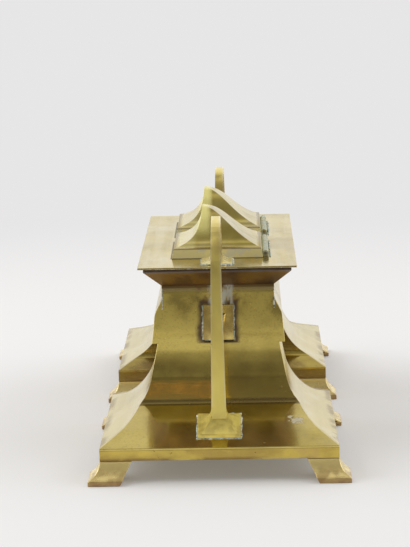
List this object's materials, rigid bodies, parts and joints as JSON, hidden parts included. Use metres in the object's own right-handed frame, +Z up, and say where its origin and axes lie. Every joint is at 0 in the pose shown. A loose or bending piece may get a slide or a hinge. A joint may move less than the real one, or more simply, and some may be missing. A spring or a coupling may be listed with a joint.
{
  "type": "desk inkstand",
  "caption": "Brass desk inkstand: flared units on bracket feet carry a long neck, a top plate with hinged lids over glass ink pots, and an arched handle at each end",
  "frame": {"origin": "on the desk, at the centre of the footprint", "axes": "+X to the back, where the hinges are; -X to the user; +Y along the length to the user's left, -Y to the user's right; +Z up"},
  "size_m": [0.156, 0.319, 0.1494],
  "materials": {
    "sheet_brass": "polished sheet, worn and tarnished in the folds",
    "lid_brass": "polished sheet",
    "cast_brass": "polished, with darker edges",
    "lining_brass": "dull, ink stained",
    "hinge_brass": "corroded, pale green",
    "pin_steel": "dull drawn wire",
    "pot_glass": "clear pressed glass"
  },
  "bodies": {
    "root": {"right_outer_front_foot": "cast_brass", "right_outer_back_foot": "cast_brass", "right_inner_front_foot": "cast_brass", "right_inner_back_foot": "cast_brass", "right_apron": "sheet_brass", "right_front_flank": "sheet_brass", "right_back_flank": "sheet_brass", "right_inner_wall": "sheet_brass", "right_end_panel": "sheet_brass", "right_well": "lining_brass", "right_ink_pot": "pot_glass", "right_plate_knuckles": "hinge_brass", "right_hinge_pin": "pin_steel", "right_handle": "cast_brass", "right_handle_stay": "cast_brass", "left_outer_front_foot": "cast_brass", "left_outer_back_foot": "cast_brass", "left_inner_front_foot": "cast_brass", "left_inner_back_foot": "cast_brass", "left_apron": "sheet_brass", "left_front_flank": "sheet_brass", "left_back_flank": "sheet_brass", "left_inner_wall": "sheet_brass", "left_end_panel": "sheet_brass", "left_well": "lining_brass", "left_ink_pot": "pot_glass", "left_plate_knuckles": "hinge_brass", "left_hinge_pin": "pin_steel", "left_handle": "cast_brass", "left_handle_stay": "cast_brass", "neck_floor": "sheet_brass", "neck_front": "sheet_brass", "neck_back": "sheet_brass", "cornice": "sheet_brass", "top_plate": "sheet_brass"},
    "right_lid": {"right_lid": "lid_brass", "right_lid_knuckles": "hinge_brass"},
    "left_lid": {"left_lid": "lid_brass", "left_lid_knuckles": "hinge_brass"}
  },
  "joints": [
    {"name": "right_lid_hinge", "type": "hinge", "parent": "root", "child": "right_lid", "pos_m": [0.03011, -0.03565, 0.1195], "axis": [0, 1, 0], "range_deg": [0, 110]},
    {"name": "left_lid_hinge", "type": "hinge", "parent": "root", "child": "left_lid", "pos_m": [0.03011, 0.03565, 0.1195], "axis": [0, 1, 0], "range_deg": [0, 110]}
  ]
}
